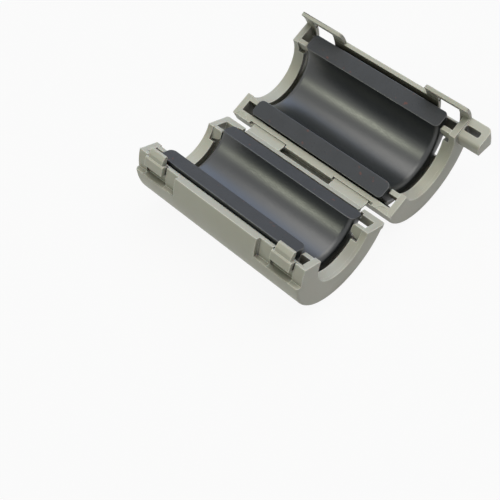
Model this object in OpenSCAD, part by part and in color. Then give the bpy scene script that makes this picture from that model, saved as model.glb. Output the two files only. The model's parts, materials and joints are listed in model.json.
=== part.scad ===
// Clip-on ferrite bead, open and lying on its two round backs.
// A round plastic case is moulded in two halves that share a film hinge. Each half holds half of
// a ferrite sleeve. Closing the lid snaps its two window loops over the two hooks of the base.
//
// Each half is drawn in its own frame: X runs along the cable, the parting plane is Z = 0 with
// the round back below it, the latch side is +Y and the hinge side is -Y. The whole part has its
// origin on the bore axis of the base core, halfway along it.

/* [Case] */
// Outside radius of the round case
case_r = 11.3; // [10.5:0.1:14]
// Length of the case along the cable
case_len = 36; // [33:0.5:50]
// Thickness of each end wall
end_wall = 1.2; // [0.8:0.1:1.6]
// Radius of the cable cut-out in each end wall
cutout_r = 6.4; // [5:0.1:6.8]
// Rounding of the outer edge round each end wall
edge_r = 0.5; // [0.2:0.1:0.7]
// Depth of the flat along the hinge side
hinge_flat = 0.3; // [0.1:0.05:0.5]
// Angle from the crown to where the lid's wall thins towards its latch-side rim
rim_from = 76; // [72:1:82]
// Height of the thicker inside edge along the other rims, as an angle
rim_span = 11; // [8:1:14]
// Radius of the half-round ejector marks on the lid's rim
mark_r = 1.3; // [1:0.1:1.6]
// How far the lid is folded up from lying flat beside the base, in degrees
lid_fold = 43.5; // [20:0.5:90]

/* [Ferrite core] */
// Bore radius of the ferrite sleeve
core_bore_r = 6.15; // [4.5:0.05:6.4]
// Gap between the round wall and the core when the case is shut
core_gap = 0.65; // [0.55:0.05:1]
// Gap between the core and each end wall
core_end_gap = 2.1; // [1.6:0.1:3.5]
// Height that the open core stands above the parting plane
core_rise = 0.6; // [0.3:0.05:0.8]
// Rounding of the core's end edges
core_edge_r = 1; // [0.3:0.1:1.2]

/* [Latch] */
// Thickness of the loops
loop_t = 0.8; // [0.6:0.05:1]
// Height that the loops stand above the parting plane
loop_h = 3.55; // [3.2:0.05:4.2]
// Height of the crossbar at the top of each loop
loop_bar = 1.6; // [1.2:0.05:1.8]
// Width of the window in each loop
window_w = 4.4; // [3.6:0.1:5]
// Distance from the end face to the window
window_end = 2; // [1.6:0.1:3]
// Width of the leg on the far side of the window
leg_w = 2.5; // [1.6:0.1:3]
// Rounding of the loop's corner away from the end face
loop_corner = 1; // [0.4:0.1:1.2]
// Depth of the through window below the lid's parting plane
window_drop = 2.6; // [2.2:0.1:3.2]
// Depth of the finger recess that runs on below the window
recess_drop = 4.9; // [4:0.1:5.5]
// Skin left between each loop pocket and the inside
pocket_skin = 0.4; // [0.3:0.05:0.6]
// Clearance round the loops and the hooks
latch_fit = 0.2; // [0.1:0.05:0.3]
// Height that the hooks stand above the parting plane
hook_h = 1.75; // [1.4:0.05:1.9]
// Height of the upright lip of each hook
hook_lip = 1.6; // [1.2:0.1:1.7]
// How far the lip overhangs the hook's stem
hook_bite = 0.6; // [0.4:0.05:0.7]
// Depth of the hook's upright front behind the round outside
hook_set = 0.25; // [0.2:0.05:0.35]
// How far the lip is wider than the stem, on each side
hook_step = 0.4; // [0.2:0.05:0.6]

/* [Hinge] */
// Gap between the two hinge rims with the case flat open
hinge_gap = 1.88; // [1.4:0.02:2.4]
// Width of each hinge strap
strap_w = 7.4; // [5:0.1:9]
// Distance between the two straps
strap_pitch = 18.7; // [14:0.1:22]
// Thickness of the straps
strap_t = 0.35; // [0.25:0.05:0.5]
// Depth of the straps below the lid's parting plane
strap_drop = 0.3; // [0.2:0.05:0.5]
// How far the straps run into the lid's rim
strap_root = 0.55; // [0.3:0.05:0.8]
// Gap beside each strap in its notch
notch_gap = 0.3; // [0.2:0.05:0.5]
// Gap beside the outer end of each strap in its notch
notch_end = 0.9; // [0.5:0.05:1.2]
// How far the base's ledge stands out from its hinge side
ledge = 0.7; // [0.3:0.05:0.75]
// Height of the ledge
ledge_h = 0.9; // [0.8:0.05:1.2]
// Rounding of the ledge's corners
ledge_r = 0.5; // [0.2:0.05:0.6]
// Width of the base's rim above the groove beside the core
rim_w = 1.1; // [0.9:0.05:1.4]
// Depth of that groove
groove_drop = 0.8; // [0.4:0.05:0.8]
// Distance from the end face to the groove
groove_end = 3.7; // [3:0.1:6]
// Width of the slit in the ledge beside the outer end of each strap
slit_w = 0.5; // [0.3:0.05:0.8]
// Depth of the slit
slit_drop = 1.2; // [0.9:0.1:1.3]
// Length of the stop rib on the lid, midway between the straps
stop_len = 10; // [4:0.5:11]
// How far the stop rib stands out from the lid's hinge side
stop_out = 1.4; // [0.6:0.1:1.5]
// Depth of the stop rib below the lid's parting plane
stop_drop = 2.1; // [1.9:0.1:2.6]
// Thickness of the stop rib
stop_t = 0.8; // [0.5:0.1:1]
// Gap left between the two parting planes of the shut case
seam = 0.1; // [0.06:0.02:0.3]

/* [Vents] */
// Length of each vent along the case
vent_len = 3.2; // [2:0.1:4]
// Distance from the end face to the vent
vent_end = 1.4; // [1.3:0.1:2]
// Angle from the crown to the near edge of the base's vents
base_vent_from = 66; // [50:1:68]
// Angle that each of the base's vents spans
base_vent_span = 16; // [8:1:16]
// Angle from the crown to the near edge of the lid's vents
lid_vent_from = 29; // [20:1:32]
// Angle that each of the lid's vents spans
lid_vent_span = 23; // [10:1:24]

/* [Core springs] */
// Distance from mid length to the root of each spring tab
spring_root = 4.45; // [2:0.05:6]
// Length of each spring tab
spring_len = 6; // [4:0.1:7]
// Width of each spring tab
spring_w = 3.6; // [2.5:0.1:4]
// Width of the slot beside a spring tab
spring_slot = 0.45; // [0.3:0.05:0.7]
// Width of the slot at the free end of a spring tab
spring_end_slot = 1.1; // [0.6:0.1:1.4]
// Rounding of the corners of the tabs and slots
spring_corner = 0.6; // [0.2:0.1:0.8]
// Length of the pad under the free end of a spring tab
spring_pad = 1.6; // [1:0.1:2.5]

/* [Core fingers] */
// Distance from the bore axis to the inner side of the fingers
finger_in = 6.6; // [6:0.1:8]
// Width of the fingers that hold the core endwise
finger_w = 0.9; // [0.7:0.1:1.4]
// Height of the fingers at the end wall
finger_h = 2.4; // [2:0.1:3]
// Height of the fingers' noses
finger_nose = 1.6; // [1.2:0.1:1.9]
// Rounding of the noses
finger_r = 0.45; // [0.3:0.05:0.5]
// Distance of the fingers' tops below the parting plane
finger_drop = 0.1; // [0:0.05:0.4]
// Clearance between the fingers and the core
finger_fit = 0.15; // [0.1:0.05:0.3]

/* [Tie tab] */
// Length of the cable-tie tab beyond the end face
tab_len = 4.3; // [3:0.1:6]
// Distance from the bore axis to the tab's inner side
tab_in = 7; // [5:0.1:7.5]
// Depth of the tab's face below the parting plane
tab_drop = 0.3; // [0:0.05:0.5]
// Height of the tab at its inner side
tab_h = 3; // [2.5:0.1:5]
// Slope of the tab's underside, in degrees
tab_slope = 22; // [0:1:30]
// Step from the round outside of the case down to the tab
tab_inset = 0.1; // [0.05:0.05:0.3]
// Rounding of the tab's outer corner
tab_corner = 1; // [0.4:0.1:1.5]
// Rounding of the tab's inner top edge
tab_round = 0.8; // [0.3:0.1:1.2]
// Length of the slot for the cable tie
slot_len = 2.9; // [2:0.1:4.5]
// Width of the slot for the cable tie
slot_w = 1.1; // [0.9:0.1:2]
// Distance from the end face to the slot
slot_end = 0.2; // [0.2:0.05:1]
// Distance from the slot to the round outside of the case
slot_edge = 1.6; // [1.2:0.1:2.5]

/* [Hidden] */
$fn = 96;
// Overlap that makes cuts run through and joined solids merge
over = 0.5;
case_colour = "#a6a8a0";
ferrite_colour = "#3c3f43";

half_len = case_len / 2;
wall = loop_t + latch_fit / 4 + pocket_skin;
inner_r = case_r - wall;
pocket_r = inner_r + pocket_skin;
loop_r = case_r - loop_t;

core_r = inner_r - core_gap;
core_half = half_len - end_wall - core_end_gap;
rim_in = core_r + latch_fit;

hinge_side = case_r - hinge_flat;
hinge_y = hinge_side + hinge_gap / 2;
hinge_z = seam / 2;
ledge_side = hinge_side + ledge;
strap_in = (strap_pitch - strap_w) / 2;
strap_out = strap_in + strap_w;

// The window runs from window_in to window_out, the loop from loop_in to the end face
window_out = half_len - window_end;
window_in = window_out - window_w;
loop_in = window_in - leg_w;
hook_x = (window_in + window_out) / 2;
lip_w = window_w - 2 * latch_fit;
stem_w = lip_w - 2 * hook_step;

// Heights in the base's frame: the crossbar of the shut loop, and the lip that it snaps under
bar_top = seam - loop_h + loop_bar;
lip_low = bar_top + 0.75 * latch_fit;
lip_top = lip_low + hook_lip;
hook_front = case_r - hook_set;
pocket_drop = loop_h - seam + latch_fit;
hook_recess_drop = pocket_drop + latch_fit / 2;
// Depth of the ejector marks
mark_drop = 0.12;
// Thickness of the wall behind a hook, which stands inward of the round wall
hook_wall = 0.4;
hook_wall_in = rim_in;
hook_back = hook_wall_in + hook_wall;
// Where the hook's section starts, inside that wall
hook_root = hook_back - hook_wall / 2;

// ---- Frames ----

// The base lies tilted, latch side up, with its core's axis through the origin
module place_base() {
    rotate([-lid_fold / 2, 0, 0])
        translate([0, 0, -core_rise])
            rotate([0, 0, 180])
                children();
}

// The lid is the base's twin, turned about the hinge axis
module place_lid() {
    rotate([-lid_fold / 2, 0, 0])
        translate([0, hinge_y, hinge_z - core_rise])
            rotate([lid_fold, 0, 0])
                translate([0, hinge_y, -hinge_z])
                    children();
}

// Frame on the hinge axis, level, halfway between the base's and the lid's
module place_hinge() {
    rotate([-lid_fold / 2, 0, 0])
        translate([0, hinge_y, hinge_z - core_rise])
            rotate([lid_fold / 2, 0, 0])
                children();
}

// A point of the lid's frame, as [y, z], in the hinge frame
function lid_to_hinge(p) = let (
    y = p[0] + hinge_y,
    z = p[1] - hinge_z,
    a = lid_fold / 2
) [y * cos(a) - z * sin(a), y * sin(a) + z * cos(a)];

// The same for the base's frame, which mirrors the lid's across the hinge
function base_to_hinge(p) = let (q = lid_to_hinge(p)) [-q[0], q[1]];

// ---- Shared forms ----

// The same shape at both ends
module both_ends() {
    children();
    mirror([1, 0, 0]) children();
}

// The same shape on both sides of the crown
module both_sides() {
    children();
    mirror([0, 1, 0]) children();
}

// Revolves a profile drawn as (radius, X) through the lower half turn
module half_turn() {
    rotate([0, 90, 0])
        rotate([0, 0, -90])
            rotate_extrude(angle = 180)
                children();
}

// Block of a round wall: radii, X range and angles from the crown, positive to the latch side
module sector(r0, r1, x0, x1, a0, a1) {
    rotate([0, 90, 0])
        rotate([0, 0, a0])
            rotate_extrude(angle = a1 - a0)
                translate([r0, x0])
                    square([r1 - r0, x1 - x0]);
}

// Part of a ring as a (Y, Z) section: radii, and angles from the crown under half a turn apart
module arc_band(r0, r1, a0, a1) {
    far = 2 * r1;
    difference() {
        intersection() {
            circle(r = r1);
            polygon([[0, 0], [far * sin(a0), -far * cos(a0)], [far * sin(a1), -far * cos(a1)]]);
        }
        circle(r = r0);
    }
}

// Extrudes a (Y, Z) section along X from x0 to x1
module along_x(x0, x1) {
    translate([x0, 0, 0])
        rotate([90, 0, 90])
            linear_extrude(height = x1 - x0)
                children();
}

// Rectangle with round corners, from the point [x0, y0] to [x1, y1]
module round_rect(x0, y0, x1, y1, r) {
    translate([x0 + r, y0]) square([x1 - x0 - 2 * r, y1 - y0]);
    translate([x0, y0 + r]) square([x1 - x0, y1 - y0 - 2 * r]);
    for (x = [x0 + r, x1 - r], y = [y0 + r, y1 - r])
        translate([x, y]) circle(r = r);
}

// Angle from the crown of the point of radius r at height z
function side_angle(r, z) = 90 + asin(z / r);

// ---- Case halves ----

// Round shell with its end walls and cable cut-outs, and the flat along the hinge side
module shell() {
    difference() {
        half_turn()
            difference() {
                intersection() {
                    round_rect(-case_r, -half_len, case_r, half_len, edge_r);
                    translate([0, -half_len]) square([case_r, case_len]);
                }
                translate([0, end_wall - half_len]) square([inner_r, case_len - 2 * end_wall]);
                translate([0, -half_len - over]) square([cutout_r, case_len + 2 * over]);
            }
        translate([-half_len - over, -hinge_side - case_r, -case_r])
            cube([case_len + 2 * over, case_r, case_r + over]);
    }
}

// Two vents near the ends of the round wall, on the hinge side
module vents(from, span) {
    both_ends()
        sector(core_r, case_r + over, half_len - vent_end - vent_len, half_len - vent_end,
               -from - span, -from);
}

// Thicker inside edge along one rim: its angles from the crown
module rim_bar(a0, a1) {
    reach = half_len - end_wall / 2;
    sector(rim_in, inner_r + pocket_skin / 2, -reach, reach, a0, a1);
}

// U-shaped slot that frees one spring tab in the crown
module spring_slot_cut() {
    slot_x = spring_root + spring_len + spring_end_slot;
    side = spring_w / 2;
    translate([0, 0, -case_r - over])
        linear_extrude(height = wall + 2 * over)
            difference() {
                round_rect(spring_root, -side - spring_slot, slot_x, side + spring_slot,
                           spring_corner);
                round_rect(spring_root - 2 * spring_corner, -side, spring_root + spring_len,
                           side, spring_corner);
            }
}

// Pad under the free end of a spring tab, which bears on the crown of the core
module spring_pad_block() {
    tip = spring_root + spring_len;
    pad_half = spring_w / 2 - 2 * spring_corner / 3;
    intersection() {
        sector(core_r, inner_r + pocket_skin, tip - spring_pad, tip, -45, 45);
        translate([0, -pad_half, -case_r])
            cube([half_len, 2 * pad_half, case_r]);
    }
}

// Finger that reaches from the end wall to the core's end face, with a sloping underside
module core_finger() {
    root = half_len - end_wall;
    tip = root - core_end_gap + finger_fit;
    inside = root + end_wall / 2;
    translate([0, finger_in + finger_w, -finger_drop])
        rotate([90, 0, 0])
            linear_extrude(height = finger_w) {
                round_rect(tip, -finger_nose, tip + 3 * finger_r, 0, finger_r);
                polygon([[inside, 0], [tip + finger_r, 0], [tip + finger_r, -finger_nose],
                         [root, -finger_h], [inside, -finger_h]]);
            }
}

// What both halves share, with vents at their own angles
module case_half(vent_from, vent_span) {
    difference() {
        shell();
        vents(vent_from, vent_span);
        both_ends() spring_slot_cut();
    }
    both_ends() spring_pad_block();
    both_sides() both_ends() core_finger();
}

// ---- Latch ----

// Y of the round outside of the case at height z
function lip_out(z) = sqrt(case_r * case_r - z * z);

// Stem in section: it rises from the wall behind the hook, and its front slopes to a rounded tip
module hook_stem_section() {
    tip_r = 0.3;
    polygon([[hook_root, lip_low], [hook_root, -over], [hook_back, 0],
             [hook_back, hook_h - tip_r], [hook_back + 2 * tip_r, hook_h - tip_r],
             [hook_front, hook_h / 2], [hook_front, lip_top],
             [lip_out(lip_low) - hook_bite, lip_low]]);
    translate([hook_back + tip_r, hook_h - tip_r]) circle(r = tip_r);
}

// Lip in section: a short cam runs out to a face that is flush with the case
module hook_lip_section() {
    polygon([[hook_root, lip_low], [hook_root, -over], [hook_back, lip_top],
             [hook_front, lip_top + hook_set], [lip_out(lip_top), lip_top],
             [lip_out(lip_low), lip_low]]);
}

module hook() {
    along_x(hook_x - stem_w / 2, hook_x + stem_w / 2) hook_stem_section();
    along_x(hook_x - lip_w / 2, hook_x + lip_w / 2) hook_lip_section();
}

// Pocket that takes a shut loop, with a deeper recess under the hook
module loop_pocket() {
    along_x(loop_in - latch_fit, half_len + over)
        arc_band(pocket_r, case_r + over, side_angle(loop_r, -pocket_drop), 95);
    along_x(window_in, window_out)
        arc_band(hook_back, case_r + over, side_angle(loop_r, -hook_recess_drop), 95);
}

// Wall behind a hook, where the deep recess cuts past the round wall
module hook_wall_block() {
    margin = 2 * latch_fit;
    along_x(window_in - margin, window_out + margin)
        arc_band(hook_wall_in, inner_r + pocket_skin / 2,
                 side_angle(loop_r, -hook_recess_drop - margin), 90);
}

module base_half() {
    difference() {
        union() {
            case_half(base_vent_from, base_vent_span);
            rim_bar(90 - rim_span, 90);
            hinge_ledge();
            both_ends() hook_wall_block();
        }
        both_ends() loop_pocket();
        both_ends() ledge_slit();
        rim_groove();
    }
    both_ends() hook();
}

// One loop: two legs and a crossbar that carry on the curve of the round wall
module loop() {
    top = side_angle(case_r, loop_h);
    difference() {
        sector(loop_r, case_r, loop_in, half_len, 90, top);
        // Window
        translate([window_in, 0, -over]) cube([window_w, 2 * case_r, loop_h - loop_bar + over]);
        // Round corner away from the end face
        translate([loop_in, 0, loop_h - loop_corner])
            rotate([-90, 0, 0])
                linear_extrude(height = 2 * case_r)
                    difference() {
                        translate([-over, -loop_corner - over])
                            square([loop_corner + over, loop_corner + over]);
                        translate([loop_corner, 0]) circle(r = loop_corner);
                    }
    }
}

// Window in the lid's wall under a loop, and the shallow recess below it, as one section
module loop_window() {
    along_x(window_in, window_out) {
        arc_band(core_r, case_r + over, side_angle(loop_r, -window_drop), 95);
        arc_band(loop_r, case_r + over, side_angle(loop_r, -recess_drop), 95);
    }
}

// ---- Hinge ----

// Ledge along the base's hinge side, which carries the straps
module hinge_ledge() {
    translate([0, 0, -ledge_h])
        linear_extrude(height = ledge_h)
            round_rect(-half_len, -ledge_side, half_len, -inner_r - pocket_skin / 2, ledge_r);
}

// Groove between the base's hinge-side rim and the core
module rim_groove() {
    reach = half_len - groove_end;
    translate([-reach, rim_w - ledge_side, -groove_drop])
        cube([2 * reach, ledge_side - rim_w - core_r, case_r]);
}

// Slit through the base's ledge and rim beside the outer end of a strap
module ledge_slit() {
    translate([strap_out, -ledge_side - over, -slit_drop])
        cube([slit_w, ledge_side + over - core_r, case_r]);
}

// Rib on the lid below the gap between the straps, which reaches under the base's ledge
module stop_rib() {
    translate([-stop_len / 2, -hinge_side - stop_out, -stop_drop - stop_t])
        cube([stop_len, stop_out + wall / 2, stop_t]);
}

// Shallow half-round marks at the ends of the lid's hinge-side rim
module ejector_marks() {
    both_ends()
        translate([half_len - end_wall / 2 - mark_r, -hinge_side - mark_r / 4, -mark_drop])
            cylinder(r = mark_r, h = case_r);
}

// Notch in the lid's rim for one strap
module strap_notch() {
    translate([strap_in - notch_gap, -hinge_side - over, -strap_drop - strap_t])
        cube([notch_gap + strap_w + notch_end, strap_root + over, case_r]);
}

// Strap from the base's rim, level with its top, into the lid's notch
module strap() {
    low = -strap_drop - strap_t;
    along_x(strap_in, strap_out)
        polygon([base_to_hinge([-ledge_side, 0]), lid_to_hinge([-hinge_side, -strap_drop]),
                 lid_to_hinge([-hinge_side + strap_root, -strap_drop]),
                 lid_to_hinge([-hinge_side + strap_root, low]), lid_to_hinge([-hinge_side, low]),
                 base_to_hinge([-ledge_side, -strap_t])]);
}

// ---- Tie tab ----

// The tab in section, with its inner top edge round and its underside sloping
module tie_tab_section() {
    far = case_r + over;
    polygon([[tab_in, -tab_drop - tab_round], [tab_in + tab_round, -tab_drop], [far, -tab_drop],
             [far, -tab_h - (far - tab_in) * tan(tab_slope)], [tab_in, -tab_h]]);
    translate([tab_in + tab_round, -tab_drop - tab_round]) circle(r = tab_round);
}

// Tab beyond one end face, with the case's round outside and a slot for a cable tie
module tie_tab() {
    root = half_len - end_wall / 2;
    tip = half_len + tab_len;
    slot_y = case_r - slot_edge - slot_w;
    difference() {
        intersection() {
            sector(cutout_r / 2, case_r - tab_inset, root, tip, 20, 90);
            along_x(root, tip) tie_tab_section();
            translate([0, 0, -case_r])
                linear_extrude(height = case_r)
                    round_rect(0, 0, tip, case_r - tab_inset, tab_corner);
        }
        translate([0, 0, -case_r])
            linear_extrude(height = case_r)
                round_rect(half_len + slot_end, slot_y, half_len + slot_end + slot_len,
                           slot_y + slot_w, slot_w / 3);
    }
}

// Relief inside the lid's latch side, which leaves a rim as thin as the loops
module rim_relief() {
    inside = half_len - end_wall;
    sector(inner_r - over, loop_r, -inside, inside, rim_from, 95);
}

module lid_half() {
    difference() {
        union() {
            case_half(lid_vent_from, lid_vent_span);
            rim_bar(-90, rim_span - 90);
            stop_rib();
        }
        mirror([0, 1, 0]) vents(lid_vent_from, lid_vent_span);
        rim_relief();
        both_ends() loop_window();
        both_ends() strap_notch();
        ejector_marks();
    }
    tie_tab();
}

// ---- Ferrite ----

// Half of the sleeve, with its axis on its own face and rounded end edges
module core_half_sleeve() {
    half_turn() round_rect(core_bore_r, -core_half, core_r, core_half, core_edge_r);
}

// ---- Nodes ----

module base_case() {
    color(case_colour) place_base() base_half();
}

module lid_case() {
    color(case_colour) place_lid() lid_half();
}

module base_core() {
    color(ferrite_colour) place_base() translate([0, 0, core_rise]) core_half_sleeve();
}

module lid_core() {
    color(ferrite_colour) place_lid() translate([0, 0, core_rise]) core_half_sleeve();
}

module hinge_strap_left() {
    color(case_colour) place_hinge() mirror([1, 0, 0]) strap();
}

module hinge_strap_right() {
    color(case_colour) place_hinge() strap();
}

module latch_loop_left() {
    color(case_colour) place_lid() mirror([1, 0, 0]) loop();
}

module latch_loop_right() {
    color(case_colour) place_lid() loop();
}

base_case();
lid_case();
base_core();
lid_core();
hinge_strap_left();
hinge_strap_right();
latch_loop_left();
latch_loop_right();
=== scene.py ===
"""Looks of the open clip-on ferrite bead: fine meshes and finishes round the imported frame.

Solids are drawn in millimetres, each half of the bead in its own frame: X runs along the cable,
the parting plane is Z = 0 with the round back below it, the latch side is +Y and the hinge side
is -Y. Placed pieces are in metres, in the row frame.
"""

import json
import logging
import math
from collections.abc import Callable, Iterable, Sequence
from dataclasses import dataclass, field
from enum import Enum

import bmesh
import bpy
from mathutils import Matrix, Vector


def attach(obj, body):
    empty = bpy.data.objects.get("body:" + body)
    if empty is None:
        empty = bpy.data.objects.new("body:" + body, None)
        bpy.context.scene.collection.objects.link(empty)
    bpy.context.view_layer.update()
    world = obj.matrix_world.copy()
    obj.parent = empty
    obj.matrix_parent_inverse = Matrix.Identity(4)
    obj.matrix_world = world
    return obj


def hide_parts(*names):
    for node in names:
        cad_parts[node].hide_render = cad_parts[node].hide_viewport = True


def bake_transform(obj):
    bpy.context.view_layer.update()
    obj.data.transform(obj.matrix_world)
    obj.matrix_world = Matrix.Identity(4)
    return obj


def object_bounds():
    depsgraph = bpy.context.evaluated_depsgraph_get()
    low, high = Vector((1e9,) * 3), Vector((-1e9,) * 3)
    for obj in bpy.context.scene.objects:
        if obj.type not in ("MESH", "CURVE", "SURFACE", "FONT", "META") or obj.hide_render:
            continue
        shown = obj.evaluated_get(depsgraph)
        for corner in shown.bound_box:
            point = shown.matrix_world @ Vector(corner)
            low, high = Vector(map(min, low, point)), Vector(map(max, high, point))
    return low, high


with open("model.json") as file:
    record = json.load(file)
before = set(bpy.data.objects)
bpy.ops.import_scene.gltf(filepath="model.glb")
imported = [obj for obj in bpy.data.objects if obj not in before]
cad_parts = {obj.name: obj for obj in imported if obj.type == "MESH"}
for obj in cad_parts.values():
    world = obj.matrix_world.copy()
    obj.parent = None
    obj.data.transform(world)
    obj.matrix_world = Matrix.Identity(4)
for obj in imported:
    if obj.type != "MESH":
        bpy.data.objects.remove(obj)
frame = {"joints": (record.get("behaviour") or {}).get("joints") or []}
CAD_BOX = [list(corner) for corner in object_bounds()]

MM = 0.001
WELD = 0.004  # points closer than this, in millimetres, become one
SHARP = 30.0  # edges that turn more than this, in degrees, shade as edges
LOG = logging.getLogger("bead")

Point = tuple[float, float]
Corner = tuple[float, float, float]
Tree = bpy.types.NodeTree
Socket = bpy.types.NodeSocket


# ---- Sizes ----


@dataclass(frozen=True)
class Sizes:
    """Driving sizes of the bead, in millimetres, with the sizes worked out from them."""

    case_r: float = 11.3
    case_len: float = 36.0
    end_wall: float = 1.2
    cutout_r: float = 6.4
    edge_r: float = 0.5
    hinge_flat: float = 0.3
    core_bore_r: float = 6.15
    core_gap: float = 0.65
    core_end_gap: float = 2.1
    core_rise: float = 0.6
    core_edge_r: float = 1.0
    loop_t: float = 0.8
    loop_h: float = 3.55
    loop_bar: float = 1.6
    window_w: float = 4.4
    window_end: float = 2.0
    leg_w: float = 2.5
    pocket_skin: float = 0.4
    latch_fit: float = 0.2
    hinge_gap: float = 1.88
    ledge: float = 0.7
    strap_w: float = 7.4
    strap_pitch: float = 18.7
    strap_t: float = 0.35
    strap_drop: float = 0.3
    strap_root: float = 0.55
    seam: float = 0.1

    @property
    def half_len(self) -> float:
        """Half the length of the case."""
        return self.case_len / 2

    @property
    def inner_r(self) -> float:
        """Radius of the round wall's inside."""
        return self.case_r - self.loop_t - self.latch_fit / 4 - self.pocket_skin

    @property
    def loop_r(self) -> float:
        """Radius of the loops' inner face."""
        return self.case_r - self.loop_t

    @property
    def core_r(self) -> float:
        """Outside radius of the ferrite sleeve."""
        return self.inner_r - self.core_gap

    @property
    def rim_in(self) -> float:
        """Radius of the thicker inside edge along the rims."""
        return self.core_r + self.latch_fit

    @property
    def core_half(self) -> float:
        """Half the length of the ferrite sleeve."""
        return self.half_len - self.end_wall - self.core_end_gap

    @property
    def hinge_side(self) -> float:
        """Distance from the bore axis to the flat along the hinge side."""
        return self.case_r - self.hinge_flat

    @property
    def ledge_side(self) -> float:
        """Distance from the bore axis to the outside of the base's ledge."""
        return self.hinge_side + self.ledge

    @property
    def strap_in(self) -> float:
        """X of a strap's edge towards mid length."""
        return (self.strap_pitch - self.strap_w) / 2

    @property
    def strap_out(self) -> float:
        """X of a strap's edge towards the end face."""
        return self.strap_in + self.strap_w

    @property
    def hinge_y(self) -> float:
        """Distance from the middle of a half to the hinge axis."""
        return self.hinge_side + self.hinge_gap / 2

    @property
    def hinge_z(self) -> float:
        """Height of the hinge axis above the parting plane."""
        return self.seam / 2

    @property
    def window_out(self) -> float:
        """X of the window's edge towards the end face."""
        return self.half_len - self.window_end

    @property
    def window_in(self) -> float:
        """X of the window's edge towards mid length."""
        return self.window_out - self.window_w

    @property
    def loop_in(self) -> float:
        """X of the loop's edge towards mid length."""
        return self.window_in - self.leg_w

    @property
    def pocket_r(self) -> float:
        """Radius of the bottom of the base's loop pockets."""
        return self.inner_r + self.pocket_skin

    def side_angle(self, radius: float, height: float) -> float:
        """Angle from the crown, in degrees, of the point of that radius at that height."""
        return 90 + math.degrees(math.asin(height / radius))


# ---- Outlines and solids ----


def outline(corners: Sequence[Corner | Point], steps: int = 5) -> list[Point]:
    """Closed outline with round corners.

    Args:
        corners: Each corner as (u, v) or, with a rounding radius, (u, v, radius).
        steps: Straight steps round each corner.

    Returns:
        The outline's points in order.
    """
    points: list[Point] = []
    count = len(corners)
    for i, corner in enumerate(corners):
        here = Vector(corner[:2])
        radius = corner[2] if len(corner) > 2 else 0.0
        if not radius:
            points.append((here.x, here.y))
            continue
        before = (Vector(corners[i - 1][:2]) - here).normalized()
        after = (Vector(corners[(i + 1) % count][:2]) - here).normalized()
        half = before.angle(after) / 2
        centre = here + (before + after).normalized() * radius / math.sin(half)
        first = here + before * radius / math.tan(half) - centre
        turn = first.angle_signed(here + after * radius / math.tan(half) - centre)
        for step in range(steps + 1):
            angle = -turn * step / steps
            spun = Matrix.Rotation(angle, 2) @ first
            points.append((centre.x + spun.x, centre.y + spun.y))
    return points


def box_outline(u0: float, v0: float, u1: float, v1: float, radius: float = 0.0) -> list[Point]:
    """Rectangle between two corners, with its corners rounded to radius."""
    return outline([(u0, v0, radius), (u1, v0, radius), (u1, v1, radius), (u0, v1, radius)])


def evenly(start: float, stop: float, step: float) -> list[float]:
    """Even values from start to stop, about a step apart."""
    count = max(1, round((stop - start) / step))
    return [start + (stop - start) * i / count for i in range(count + 1)]


def add_object(name: str, data: bpy.types.ID) -> bpy.types.Object:
    """Adds an object with that data to the scene.

    Args:
        name: Name of the object.
        data: Its mesh, lamp or camera.

    Returns:
        The object.
    """
    made = bpy.data.objects.new(name, data)
    bpy.context.scene.collection.objects.link(made)
    return made


class Axis(Enum):
    """Axis that an outline is drawn out along, with the place of its (u, v) points."""

    X = "yz"
    Y = "xz"
    Z = "xy"

    def place(self, point: Point, along: float) -> Vector:
        """The outline's point at that distance along the axis."""
        u, v = point
        return Vector({"yz": (along, u, v), "xz": (u, along, v), "xy": (u, v, along)}[self.value])


class Operation(Enum):
    """How one solid changes another."""

    CUT = "DIFFERENCE"
    JOIN = "UNION"
    KEEP = "INTERSECT"


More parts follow.
